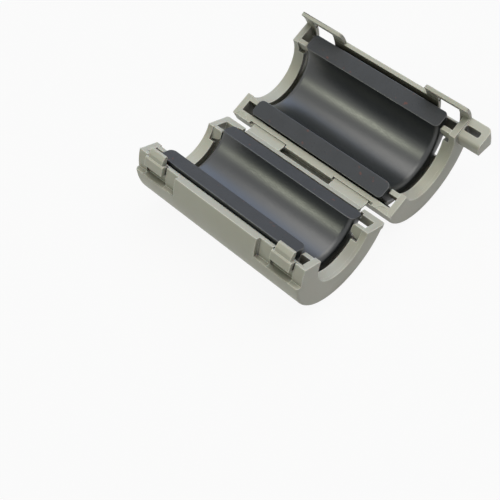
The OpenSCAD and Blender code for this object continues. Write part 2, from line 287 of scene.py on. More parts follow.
class Solid:
    """Closed mesh in millimetres that can be cut, joined and given round edges."""

    def __init__(self, mesh: bpy.types.Mesh) -> None:
        """Wraps a closed mesh."""
        self.mesh = mesh

    @classmethod
    def lofted(cls, rings: Sequence[Sequence[Vector]]) -> "Solid":
        """Solid between rings of points, closed by a flat face at each end.

        Args:
            rings: Rings with the same number of points, in order.

        Returns:
            The solid.
        """
        work = bmesh.new()
        rows = [[work.verts.new(point) for point in ring] for ring in rings]
        for row, following in zip(rows, rows[1:]):
            for i, corner in enumerate(row):
                j = (i + 1) % len(row)
                work.faces.new((corner, row[j], following[j], following[i]))
        work.faces.new(rows[0])
        work.faces.new(rows[-1])
        bmesh.ops.recalc_face_normals(work, faces=work.faces)
        mesh = bpy.data.meshes.new("solid")
        work.to_mesh(mesh)
        work.free()
        return cls(mesh)

    @classmethod
    def prism(cls, points: Sequence[Point], axis: Axis, low: float, high: float) -> "Solid":
        """Outline drawn out along an axis from low to high."""
        return cls.lofted([[axis.place(p, along) for p in points] for along in (low, high)])

    @classmethod
    def turned(cls, points: Sequence[Point], angles: Iterable[float]) -> "Solid":
        """Profile turned round the X axis.

        Args:
            points: The profile as (radius, X).
            angles: Angles from the crown, in degrees, positive to the latch side.

        Returns:
            The solid between the first angle and the last.
        """
        rings = []
        for angle in angles:
            side, down = math.sin(math.radians(angle)), math.cos(math.radians(angle))
            rings.append([Vector((x, r * side, -r * down)) for r, x in points])
        return cls.lofted(rings)

    def applied(self, piece: bpy.types.Object) -> "Solid":
        """This solid as the modifiers of that object leave it; the object is removed.

        Args:
            piece: The object, which holds this solid's mesh.

        Returns:
            This solid.
        """
        graph = bpy.context.evaluated_depsgraph_get()
        self.mesh = bpy.data.meshes.new_from_object(piece.evaluated_get(graph))
        bpy.data.objects.remove(piece)
        return self

    def change(self, operation: Operation, *others: "Solid") -> "Solid":
        """Changes this solid with the others, one after the other.

        Args:
            operation: What is done with them.
            others: The other solids.

        Returns:
            This solid, changed.
        """
        for other in others:
            piece, tool = (add_object("work", solid.mesh) for solid in (self, other))
            step = piece.modifiers.new("step", "BOOLEAN")
            step.solver = "MANIFOLD"
            step.operation = operation.value
            step.object = tool
            self.applied(piece)
            self.mesh.materials.clear()
            bpy.data.objects.remove(tool)
        return self

    def cut(self, *others: "Solid") -> "Solid":
        """Takes the others out of this solid."""
        return self.change(Operation.CUT, *others)

    def join(self, *others: "Solid") -> "Solid":
        """Adds the others to this solid."""
        return self.change(Operation.JOIN, *others)

    def keep(self, other: "Solid") -> "Solid":
        """Keeps only what this solid shares with the other."""
        return self.change(Operation.KEEP, other)

    def mirrored(self, *axes: Axis) -> "Solid":
        """Copy of this solid, mirrored along each of the axes.

        Args:
            axes: The axes, which may be none.

        Returns:
            The copy.
        """
        mesh = self.mesh.copy()
        for axis in axes:
            row = list(Axis).index(axis)
            mesh.transform(Matrix.Scale(-1, 4, Vector([float(i == row) for i in range(3)])))
            mesh.flip_normals()
        return Solid(mesh)

    def at_both_ends(self) -> list["Solid"]:
        """This solid and its twin at the other end."""
        return [self, self.mirrored(Axis.X)]

    def at_four_corners(self) -> list["Solid"]:
        """This solid at both ends, on both sides of the crown."""
        return [s for each in self.at_both_ends() for s in (each, each.mirrored(Axis.Y))]

    def round_edges(
        self,
        width: float,
        angle: float = 40.0,
        steps: int = 2,
        chosen: Callable[[bmesh.types.BMEdge], bool] = lambda edge: True,
    ) -> "Solid":
        """Rounds the solid's outward edges.

        Args:
            width: Width of the rounding on each side of an edge.
            angle: Edges that turn less than this, in degrees, stay as they are.
            steps: Straight steps across the rounding.
            chosen: Says of an edge whether it may be rounded.

        Returns:
            This solid, with its normals following the roundings.
        """
        work = bmesh.new()
        work.from_mesh(self.mesh)
        bmesh.ops.remove_doubles(work, verts=work.verts, dist=WELD)
        weights = work.edges.layers.float.new("bevel_weight_edge")
        for edge in work.edges:
            turn = math.degrees(edge.calc_face_angle_signed(0.0))
            edge[weights] = 1.0 if turn > angle and chosen(edge) else 0.0
        work.to_mesh(self.mesh)
        work.free()
        self.mesh.shade_smooth()
        self.mesh.set_sharp_from_angle(angle=math.radians(SHARP))
        piece = add_object("work", self.mesh)
        step = piece.modifiers.new("round", "BEVEL")
        step.width = width
        step.segments = steps
        step.limit_method = "WEIGHT"
        step.use_clamp_overlap = False
        step.harden_normals = True
        return self.applied(piece)

    def paint(self, chosen: Callable[[bmesh.types.BMFace], bool]) -> "Solid":
        """Gives the chosen faces the second of the materials that the solid is placed with.

        Args:
            chosen: Says of a face whether it is one of them.

        Returns:
            This solid.
        """
        work = bmesh.new()
        work.from_mesh(self.mesh)
        for face in work.faces:
            face.material_index = int(chosen(face))
        work.to_mesh(self.mesh)
        work.free()
        return self

    def placed(
        self, name: str, where: Matrix, materials: Sequence[bpy.types.Material]
    ) -> bpy.types.Object:
        """Makes the solid an object of the scene.

        Args:
            name: Name of the object.
            where: Place of the solid's frame in the row frame, in metres.
            materials: Materials for its slots.

        Returns:
            The object, in metres.
        """
        self.mesh.transform(where @ Matrix.Scale(MM, 4))
        self.mesh.name = name
        for material in materials:
            self.mesh.materials.append(material)
        return add_object(name, self.mesh)


@dataclass(frozen=True)
class Layout:
    """Where each half lies, worked out from the lid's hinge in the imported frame.

    Attributes:
        hinge: A point of the hinge axis in the row frame, in metres.
        fold: How far the lid is folded up from lying flat beside the base, in radians.
    """

    hinge: Vector
    fold: float

    @classmethod
    def from_frame(cls) -> "Layout":
        """Reads the lid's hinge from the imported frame."""
        joint = next(j for j in frame["joints"] if j["name"] == "lid_hinge")
        return cls(Vector(joint["pos_m"]), -math.radians(joint["range_deg"][0]))

    def at_hinge(self) -> Matrix:
        """Level frame on the hinge axis."""
        return Matrix.Translation(self.hinge)

    def half(self, sizes: Sizes, is_lid: bool) -> Matrix:
        """Frame of the lid or the base.

        Args:
            sizes: Sizes of the bead.
            is_lid: Whether the lid's frame is wanted.

        Returns:
            The frame's place in the row frame, in metres.
        """
        tilt = self.fold / 2 if is_lid else -self.fold / 2
        side = 1 if is_lid else -1
        shift = Vector((0, side * sizes.hinge_y, -sizes.hinge_z)) * MM
        turn = Matrix.Identity(4) if is_lid else Matrix.Rotation(math.pi, 4, "Z")
        return self.at_hinge() @ Matrix.Rotation(tilt, 4, "X") @ Matrix.Translation(shift) @ turn


# ---- Case ----


@dataclass
class CaseHalf:
    """What both moulded halves of the case share: round shell, vents, springs and fingers."""

    sizes: Sizes
    step: float = 1.25
    rim_r: float = 0.08
    rim_span: float = 11.0
    vent_len: float = 3.2
    vent_end: float = 1.4
    vent_from: float = 66.0
    vent_span: float = 16.0
    collar_r: float = 7.4
    collar_len: float = 1.1
    collar_turn: float = 68.0
    spring_root: float = 4.45
    spring_len: float = 6.0
    spring_w: float = 3.6
    spring_slot: float = 0.45
    spring_end_slot: float = 1.1
    spring_corner: float = 0.6
    spring_pad: float = 1.6
    finger_in: float = 6.6
    finger_w: float = 0.9
    finger_h: float = 2.4
    finger_nose: float = 1.6
    finger_r: float = 0.45
    finger_drop: float = 0.1
    finger_fit: float = 0.15
    pad_inset: float = 0.4
    # Angle of the end of a cut that is open at the latch-side rim
    past_rim: float = 95.0
    # How far cutting blocks reach past what they cut: beside other parts, and elsewhere
    over: float = 0.5
    clear: float = 1.0

    def angles(self, start: float, stop: float, *exact: float) -> list[float]:
        """Even angles from start to stop, moved to pass through the exact ones.

        Args:
            start: First angle from the crown, in degrees.
            stop: Last angle.
            exact: Angles between them that are wanted as well.

        Returns:
            The angles in order.
        """
        wanted = sorted({start, stop, *(a for a in exact if start < a < stop)})
        rows = [evenly(low, high, self.step)[1:] for low, high in zip(wanted, wanted[1:])]
        return [start, *(angle for row in rows for angle in row)]

    def sector(self, r0: float, r1: float, x0: float, x1: float, a0: float, a1: float) -> Solid:
        """Block of a round wall: radii, X range and angles from the crown."""
        return Solid.turned(box_outline(r0, x0, r1, x1), self.angles(a0, a1))

    def side_cut(self, radius: float, x0: float, x1: float, drop: float) -> Solid:
        """Block to cut from the latch side: from outside in to radius, and down to drop."""
        low, out = self.sizes.side_angle(self.sizes.loop_r, -drop), self.sizes.case_r + self.over
        return self.sector(radius, out, x0, x1, low, self.past_rim)

    def shell(self, *exact: float) -> Solid:
        """Round shell with its end walls, cable cut-outs and the flat along the hinge side.

        Args:
            exact: Angles from the crown that the mesh has rings at.

        Returns:
            The solid.
        """
        s = self.sizes
        inside = s.half_len - s.end_wall
        profile = outline([
            (s.cutout_r, -s.half_len, self.rim_r), (s.case_r, -s.half_len, s.edge_r),
            (s.case_r, s.half_len, s.edge_r), (s.cutout_r, s.half_len, self.rim_r),
            (s.cutout_r, inside, self.rim_r), (s.inner_r, inside, self.rim_r),
            (s.inner_r, -inside, self.rim_r), (s.cutout_r, -inside, self.rim_r),
        ])
        flat = math.degrees(math.asin(s.hinge_side / s.case_r))
        vent = (-self.vent_from, -self.vent_from - self.vent_span)
        exact = (-flat, *vent, self.rim_span - 90, 90 - self.rim_span, *exact)
        whole = Solid.turned(profile, self.angles(-90, 90, *exact))
        low, side = -s.case_r, -s.hinge_side
        beside = box_outline(side - s.case_r, low, side, self.over)
        ends = s.half_len + self.over
        return whole.cut(Solid.prism(beside, Axis.X, -ends, ends))

    def spring_cut(self) -> Solid:
        """U-shaped slot that frees one spring tab in the crown."""
        far = self.spring_root + self.spring_len + self.spring_end_slot
        side = self.spring_w / 2
        tip = self.spring_root + self.spring_len
        low, high = -self.sizes.case_r - self.over, -self.sizes.core_r + self.over
        around = box_outline(
            self.spring_root, -side - self.spring_slot, far, side + self.spring_slot,
            self.spring_corner,
        )
        tab = box_outline(self.spring_root - self.spring_len, -side, tip, side, self.spring_corner)
        kept = Solid.prism(tab, Axis.Z, low - self.clear, high + self.clear)
        return Solid.prism(around, Axis.Z, low, high).cut(kept)

    def finger(self) -> Solid:
        """Finger from the end wall to the core's end face, with a sloping underside."""
        s = self.sizes
        root = s.half_len - s.end_wall
        tip = root - s.core_end_gap + self.finger_fit
        top = -self.finger_drop
        deep = top - self.finger_h
        back = root + s.end_wall / 2
        side = outline([
            (back, top), (tip, top, self.finger_r),
            (tip, top - self.finger_nose, self.finger_r), (root, deep),
            (back, deep),
        ])
        return Solid.prism(side, Axis.Y, self.finger_in, self.finger_in + self.finger_w)

    def collar(self) -> Solid:
        """Collar inside an end wall, round its cable cut-out."""
        s = self.sizes
        root = s.half_len - s.end_wall / 2
        tip = s.half_len - s.end_wall - self.collar_len
        turn = self.collar_turn
        return self.sector(s.cutout_r, self.collar_r, tip, root, -turn, turn)

    def rim_bar(self, start: float, stop: float) -> Solid:
        """Thicker inside edge along a rim, between two angles from the crown.

        Args:
            start: First angle, in degrees.
            stop: Last angle.

        Returns:
            The bar.
        """
        s = self.sizes
        reach = s.half_len - s.end_wall / 2
        return self.sector(s.rim_in, s.inner_r + s.pocket_skin / 2, -reach, reach, start, stop)

    def vent(self) -> Solid:
        """Vent near one end of the round wall, on the hinge side."""
        s = self.sizes
        out = s.half_len - self.vent_end
        return self.sector(
            s.core_r, s.case_r + self.over, out - self.vent_len, out,
            -self.vent_from - self.vent_span, -self.vent_from,
        )

    def shared(self, *exact: float) -> Solid:
        """Everything that the two halves have in common, before its edges are rounded.

        Args:
            exact: Angles from the crown that the shell has rings at.

        Returns:
            The solid.
        """
        s = self.sizes
        tip = self.spring_root + self.spring_len
        pad_turn = math.degrees(math.asin((self.spring_w / 2 - self.pad_inset) / s.core_r))
        pad = self.sector(s.core_r, s.pocket_r, tip - self.spring_pad, tip, -pad_turn, pad_turn)
        shell = self.shell(*exact)
        shell.cut(*self.vent().at_both_ends())
        shell.cut(*self.spring_cut().at_both_ends())
        shell.join(*pad.at_both_ends(), *self.collar().at_both_ends())
        return shell.join(*self.finger().at_four_corners())


@dataclass
class BaseHalf(CaseHalf):
    """The base: pockets for the lid's loops and a hook in each."""

    hook_h: float = 1.75
    hook_lip: float = 1.6
    hook_bite: float = 0.6
    hook_set: float = 0.25
    hook_step: float = 0.4
    hook_wall: float = 0.4
    hook_top: float = 0.66
    tip_r: float = 0.3
    ledge_h: float = 0.9
    ledge_r: float = 0.5
    rim_w: float = 1.1
    groove_drop: float = 0.8
    groove_end: float = 3.7
    slit_w: float = 0.5
    slit_drop: float = 1.2
    ledge_zone: float = 1.0

    @property
    def pocket_drop(self) -> float:
        """Depth of the pockets below the parting plane."""
        return self.sizes.loop_h - self.sizes.seam + self.sizes.latch_fit

    @property
    def recess_drop(self) -> float:
        """Depth of the recess under a hook."""
        return self.pocket_drop + self.sizes.latch_fit / 2

    @property
    def hook_back(self) -> float:
        """Y of the hook's upright back."""
        return self.sizes.rim_in + self.hook_wall

    @property
    def lip_low(self) -> float:
        """Height of the underside of the hook's lip."""
        s = self.sizes
        return s.seam - s.loop_h + s.loop_bar + 0.75 * s.latch_fit

    def case_y(self, height: float) -> float:
        """Y of the round outside of the case at that height."""
        return math.sqrt(self.sizes.case_r**2 - height**2)

    def pocket(self) -> list[Solid]:
        """Pocket for a shut loop, and the deeper recess under the hook."""
        s = self.sizes
        x0, x1 = s.loop_in - s.latch_fit, s.half_len + self.over
        shallow = self.side_cut(s.pocket_r, x0, x1, self.pocket_drop)
        deep = self.side_cut(self.hook_back, s.window_in, s.window_out, self.recess_drop)
        return [shallow, deep]

    def wall_block(self) -> Solid:
        """Wall behind a hook, where the recess cuts past the round wall."""
        s = self.sizes
        margin = 2 * s.latch_fit
        return self.sector(
            self.hook_back - self.hook_wall, s.inner_r + s.pocket_skin / 2,
            s.window_in - margin, s.window_out + margin,
            s.side_angle(s.loop_r, -self.recess_drop - margin), 90.0,
        )

    def hook(self) -> Solid:
        """Hook with a rounded tip, a front that slopes at the top, and a wider lip below."""
        s = self.sizes
        middle = (s.window_in + s.window_out) / 2
        lip_half = s.window_w / 2 - s.latch_fit
        root = self.hook_back - self.hook_wall / 2
        front = s.case_r - self.hook_set
        lip_top = self.lip_low + self.hook_lip
        stem = outline([
            (root, self.lip_low), (root, -self.over),
            (self.hook_back, 0.0), (self.hook_back, self.hook_h, self.tip_r),
            (self.hook_back + self.hook_top, self.hook_h, self.tip_r),
            (front, self.hook_h / 2, self.tip_r), (front, lip_top),
            (self.case_y(self.lip_low) - self.hook_bite, self.lip_low),
        ])
        lip = outline([
            (root, self.lip_low), (root, -self.over),
            (self.hook_back, lip_top), (front, lip_top + self.hook_set),
            (self.case_y(lip_top), lip_top), (self.case_y(self.lip_low), self.lip_low),
        ])
        stem_half = lip_half - self.hook_step
        wide = Solid.prism(lip, Axis.X, middle - lip_half, middle + lip_half)
        tall = Solid.prism(stem, Axis.X, middle - stem_half, middle + stem_half)
        return tall.join(wide)

    def hinge_ledge(self) -> Solid:
        """Ledge along the hinge side, which carries the straps."""
        s = self.sizes
        plan = box_outline(
            -s.half_len, -s.ledge_side, s.half_len, -s.inner_r - s.pocket_skin / 2, self.ledge_r
        )
        return Solid.prism(plan, Axis.Z, -self.ledge_h, 0.0)

    def hinge_cuts(self) -> list[Solid]:
        """Slits beside the straps' outer ends, and the groove between the rim and the core."""
        s = self.sizes
        out, reach = -s.ledge_side, s.half_len - self.groove_end
        slit = box_outline(s.strap_out, out - self.over, s.strap_out + self.slit_w, -s.core_r)
        groove = box_outline(-reach, out + self.rim_w, reach, -s.core_r)
        return [
            *Solid.prism(slit, Axis.Z, -self.slit_drop, self.clear).at_both_ends(),
            Solid.prism(groove, Axis.Z, -self.groove_drop, self.clear),
        ]

    def off_ledge_end(self, edge: bmesh.types.BMEdge) -> bool:
        """Whether an edge keeps off the ledge's ends, where slivers are too small to round.

        Args:
            edge: An edge of the base.

        Returns:
            False at the ledge's ends.
        """
        s, zone = self.sizes, self.ledge_zone
        return not all(
            abs(v.co.x) > s.half_len - zone and v.co.y < -s.core_r and v.co.z > -zone
            for v in edge.verts
        )

    def build(self) -> Solid:
        """The base's solid with its edges rounded."""
        s = self.sizes
        exact = [s.side_angle(s.loop_r, -drop) for drop in (self.pocket_drop, self.recess_drop)]
        base = self.shared(*exact)
        base.join(self.rim_bar(90.0 - self.rim_span, 90.0), self.hinge_ledge())
        base.join(*self.wall_block().at_both_ends())
        for pocket in self.pocket():
            base.cut(*pocket.at_both_ends())
        base.cut(*self.hinge_cuts())
        base.join(*self.hook().at_both_ends())
        return base.round_edges(self.rim_r, chosen=self.off_ledge_end)


@dataclass
class LidHalf(CaseHalf):
    """The lid: windows under its loops, notches for the hinge straps and the tie tab."""

    rim_r: float = 0.09
    vent_from: float = 29.0
    vent_span: float = 23.0
    rim_from: float = 76.0
    mark_r: float = 1.3
    mark_drop: float = 0.12
    window_drop: float = 2.6
    recess_drop: float = 4.9
    notch_gap: float = 0.3
    notch_end: float = 0.9
    stop_len: float = 13.4
    stop_out: float = 1.4
    stop_drop: float = 2.1
    stop_t: float = 0.8
    stop_root: float = 0.6
    tab_from: float = 20.0
    tab_len: float = 4.3
    tab_in: float = 7.0
    tab_drop: float = 0.3
    tab_h: float = 3.0
    tab_slope: float = 22.0
    tab_inset: float = 0.1
    tab_corner: float = 1.0
    tab_round: float = 0.8
    slot_len: float = 2.9
    slot_w: float = 1.1
    slot_end: float = 0.2
    slot_edge: float = 1.6

    def window(self) -> list[Solid]:
        """Window in the wall under a loop, and the shallow finger recess below it."""
        s = self.sizes
        cuts = ((s.core_r, self.window_drop), (s.loop_r, self.recess_drop))
        return [self.side_cut(r, s.window_in, s.window_out, drop) for r, drop in cuts]

    def strap_notch(self) -> Solid:
        """Notch in the rim for one strap."""
        s = self.sizes
        floor = -s.strap_drop - s.strap_t
        side = -s.hinge_side
        section = box_outline(side - self.over, floor, side + s.strap_root, self.clear)
        return Solid.prism(
            section, Axis.X, s.strap_in - self.notch_gap, s.strap_out + self.notch_end
        )

    def rim_relief(self) -> Solid:
        """Relief inside the latch side, which leaves a rim as thin as the loops."""
        s = self.sizes
        inside = s.half_len - s.end_wall
        return self.sector(s.core_r, s.loop_r, -inside, inside, self.rim_from, self.past_rim)

    def stop_rib(self) -> Solid:
        """Rib below the gap between the straps, which reaches under the base's ledge."""
        s = self.sizes
        low, side = -self.stop_drop - self.stop_t, -s.hinge_side
        section = box_outline(side - self.stop_out, low, side + self.stop_root, -self.stop_drop)
        return Solid.prism(section, Axis.X, -self.stop_len / 2, self.stop_len / 2)

    def ejector_mark(self) -> Solid:
        """Shallow half-round mark of an ejector pin at the end of the hinge-side rim."""
        s = self.sizes
        x, y = s.half_len - s.end_wall / 2 - self.mark_r, -s.hinge_side - self.mark_r / 4
        turns = [math.radians(a) for a in range(0, 360, 10)]
        plan = [(x + self.mark_r * math.cos(t), y + self.mark_r * math.sin(t)) for t in turns]
        return Solid.prism(plan, Axis.Z, -self.mark_drop, self.clear)

    def tie_tab(self) -> Solid:
        """Tab beyond one end face, with the case's round outside and a slot for a cable tie."""
        s = self.sizes
        root = s.half_len - s.end_wall / 2
        tip = s.half_len + self.tab_len
        side = s.case_r - self.tab_inset
        tab = self.sector(s.cutout_r / 2, side, root, tip, self.tab_from, 90.0)
        far = s.case_r + self.over
        fall = (far - self.tab_in) * math.tan(math.radians(self.tab_slope))
        section = outline([
            (self.tab_in, -self.tab_drop, self.tab_round), (far, -self.tab_drop),
            (far, -self.tab_h - fall), (self.tab_in, -self.tab_h),
        ])
        tab.keep(Solid.prism(section, Axis.X, root - self.clear, tip + self.clear))
        low, high = -s.case_r - self.clear, self.clear
        plan = outline([(0, 0), (tip, 0), (tip, side, self.tab_corner), (0, side)])
        tab.keep(Solid.prism(plan, Axis.Z, low, high))
        x0 = s.half_len + self.slot_end
        y0 = s.case_r - self.slot_edge - self.slot_w
        slot = box_outline(x0, y0, x0 + self.slot_len, y0 + self.slot_w, self.slot_w / 3)
        return tab.cut(Solid.prism(slot, Axis.Z, low, high))

    def build(self) -> Solid:
        """The lid's solid with its edges rounded."""
        s = self.sizes
        exact = [s.side_angle(s.loop_r, -drop) for drop in (self.window_drop, self.recess_drop)]
        vent = (self.vent_from, self.vent_from + self.vent_span)
        lid = self.shared(self.rim_from, *vent, *exact)
        lid.join(self.rim_bar(-90.0, self.rim_span - 90.0), self.stop_rib())
        lid.cut(self.rim_relief(), *self.vent().mirrored(Axis.Y).at_both_ends())
        for window in self.window():
            lid.cut(*window.at_both_ends())
        lid.cut(*self.strap_notch().at_both_ends(), *self.ejector_mark().at_both_ends())
        return lid.join(self.tie_tab()).round_edges(self.rim_r)


@dataclass
class LatchLoop:
    """Window loop on the lid: two legs and a crossbar on the curve of the round wall."""

    sizes: Sizes
    corner: float = 1.0
    end_corner: float = 0.3
    edge: float = 0.14
    sunk: float = 0.6
    # The outlines that shape it start this far below the parting plane
    below: float = 2.0
    # It stays this much inside the wall's own faces
    skin: float = 0.02
    step: float = 1.25

    def build(self) -> Solid:
        """The loop's solid, with its root sunk into the lid's wall."""
        s = self.sizes
        top = s.side_angle(s.case_r, s.loop_h)
        low = s.side_angle(s.loop_r, -self.sunk)
        profile = box_outline(s.loop_r + self.skin, s.loop_in, s.case_r - self.skin, s.half_len)
        loop = Solid.turned(profile, evenly(low, top, self.step))
        bar_low = s.loop_h - s.loop_bar
        window = box_outline(s.window_in, -self.below, s.window_out, bar_low)
        loop.cut(Solid.prism(window, Axis.Y, 0.0, 2 * s.case_r))
        front = outline([
            (s.loop_in, -self.below), (s.half_len, -self.below),
            (s.half_len, s.loop_h, self.end_corner), (s.loop_in, s.loop_h, self.corner),
        ])
        loop.keep(Solid.prism(front, Axis.Y, 0.0, 2 * s.case_r))
        return loop.round_edges(self.edge, steps=3)


@dataclass
class HingeStrap:
    """Film hinge strap from the base's rim into the lid's notch."""

    sizes: Sizes
    fold: float
    sunk: float = 0.05
    edge: float = 0.05
    steps: int = 14

    def on_lid(self, y: float, z: float) -> Point:
        """A point of the lid's frame in the hinge's frame.

        Args:
            y: Its Y in the lid's frame.
            z: Its Z in the lid's frame.

        Returns:
            The point as (Y, Z).
        """
        u, v = y + self.sizes.hinge_y, z - self.sizes.hinge_z
        c, s = math.cos(self.fold / 2), math.sin(self.fold / 2)
        return (u * c - v * s, u * s + v * c)

    def on_base(self, y: float, z: float) -> Point:
        """A point of the base's frame in the hinge's frame."""
        u, v = self.on_lid(y, z)
        return (-u, v)

    def stepped(self, start: Point, end: Point) -> list[Point]:
        """Points in even steps from start to end.

        Args:
            start: The first point.
            end: The last point.

        Returns:
            The points, with both ends.
        """
        (u0, v0), (u1, v1) = start, end
        shares = [i / self.steps for i in range(self.steps + 1)]
        return [(u0 + (u1 - u0) * share, v0 + (v1 - v0) * share) for share in shares]

    def build(self) -> Solid:
        """The strap's solid in the hinge's frame, in fine steps from the base's ledge to the lid's
        notch.
        """
        s = self.sizes
        side, ledge = -s.hinge_side, self.sunk - s.ledge_side
        low = -s.strap_drop - s.strap_t
        points = [
            *self.stepped(self.on_base(ledge, 0.0), self.on_lid(side, -s.strap_drop)),
            self.on_lid(side + s.strap_root, -s.strap_drop),
            self.on_lid(side + s.strap_root, low),
            *self.stepped(self.on_lid(side, low), self.on_base(ledge, -s.strap_t)),
        ]
        return Solid.prism(points, Axis.X, s.strap_in, s.strap_out).round_edges(self.edge)


# ---- Ferrite ----


@dataclass
class HalfCore:
    """Half of the ferrite sleeve, with its axis on its own face."""

    sizes: Sizes
    step: float = 1.25
    edge: float = 0.1
    outer_edge_r: float = 0.8
    # Faces no deeper than this below the flat are painted as ground
    skin: float = 0.01

    def build(self) -> Solid:
        """The half sleeve's solid with its edges rounded and its flat faces painted."""
        s = self.sizes
        profile = outline([
            (s.core_bore_r, -s.core_half, s.core_edge_r),
            (s.core_r, -s.core_half, self.outer_edge_r),
            (s.core_r, s.core_half, self.outer_edge_r),
            (s.core_bore_r, s.core_half, s.core_edge_r),
        ], steps=8)
        core = Solid.turned(profile, evenly(-90.0, 90.0, self.step))
        core.round_edges(self.edge, angle=60)
        return core.paint(lambda face: face.calc_center_median().z > -self.skin)


# ---- Finishes ----


def linear(code: str) -> tuple[float, float, float, float]:
    """Linear colour from an sRGB hex code such as "#a6a8a0"."""
    parts = (int(code[i : i + 2], 16) / 255 for i in (1, 3, 5))
    return (*(c / 12.92 if c <= 0.04045 else ((c + 0.055) / 1.055) ** 2.4 for c in parts), 1.0)


def add_node(
    tree: Tree, kind: str, inputs: dict[str | int, object] | None = None, **settings: object
) -> bpy.types.Node:
    """Adds a node with its settings and links.

    Args:
        tree: The material's or world's node tree.
        kind: The node's type, without its ShaderNode prefix.
        inputs: For each input, by name or number, a value or the socket that feeds it.
        settings: Properties of the node.

    Returns:
        The node.
    """
    node = tree.nodes.new("ShaderNode" + kind)
    for key, value in settings.items():
        setattr(node, key, value)
    for key, value in (inputs or {}).items():
        if isinstance(value, bpy.types.NodeSocket):
            tree.links.new(value, node.inputs[key])
        else:
            node.inputs[key].default_value = value
    return node


def empty_tree(owner: bpy.types.Material | bpy.types.World) -> Tree:
    """The owner's node tree, switched on and emptied.

    Args:
        owner: A material or the world.

    Returns:
        Its tree.
    """
    owner.use_nodes = True
    owner.node_tree.nodes.clear()
    return owner.node_tree


def noise(tree: Tree, place: Socket, grain_mm: float, detail: float) -> Socket:
    """Noise from 0 to 1 with grains of that size."""
    inputs = {"Vector": place, "Scale": 1 / (grain_mm * MM), "Detail": detail}
    return add_node(tree, "TexNoise", inputs).outputs["Fac"]


def mixed(tree: Tree, share: Socket, *tones: str | Socket) -> Socket:
    """Colour between two tones, each a hex code or a socket; share is that of the second."""
    first, second = (linear(tone) if isinstance(tone, str) else tone for tone in tones)
    return add_node(tree, "Mix", {0: share, 6: first, 7: second}, data_type="RGBA").outputs[2]


def mapped(tree: Tree, value: Socket, start: Point, end: Point) -> Socket:
    """Value moved from the range start to the range end, and kept inside it."""
    ranges = {"From Min": start[0], "From Max": start[1], "To Min": end[0], "To Max": end[1]}
    return add_node(tree, "MapRange", {"Value": value, **ranges}).outputs["Result"]


@dataclass(frozen=True)
class Finish:
    """A surface finish, built as a node-based material.

    Attributes:
        name: Name of the material.
        ior: Index of refraction.
        grain_mm: Size of its finest pattern.
        relief_mm: Depth of that pattern.
        relief: How much of that depth shows, from 0 to 1.
    """

    name: str
    ior: float
    grain_mm: float
    relief_mm: float
    relief: float

    def surface(self, tree: Tree, place: Socket) -> dict[str, object]:
        """Pattern and looks of the surface.

        Args:
            tree: The material's nodes.
            place: Coordinates of the surface.

        Returns:
            Inputs of the shader, by name.
        """
        raise NotImplementedError

    def bumped(self, tree: Tree, height: Socket) -> Socket:
        """Normals of the surface with its relief."""
        inputs = {"Height": height, "Strength": self.relief, "Distance": self.relief_mm * MM}
        return add_node(tree, "Bump", inputs).outputs["Normal"]

    def build(self) -> bpy.types.Material:
        """The material."""
        material = bpy.data.materials.new(self.name)
        tree = empty_tree(material)
        place = add_node(tree, "TexCoord").outputs["Object"]
        shader = add_node(tree, "BsdfPrincipled", {**self.surface(tree, place), "IOR": self.ior})
        add_node(tree, "OutputMaterial", {"Surface": shader.outputs["BSDF"]})
        return material


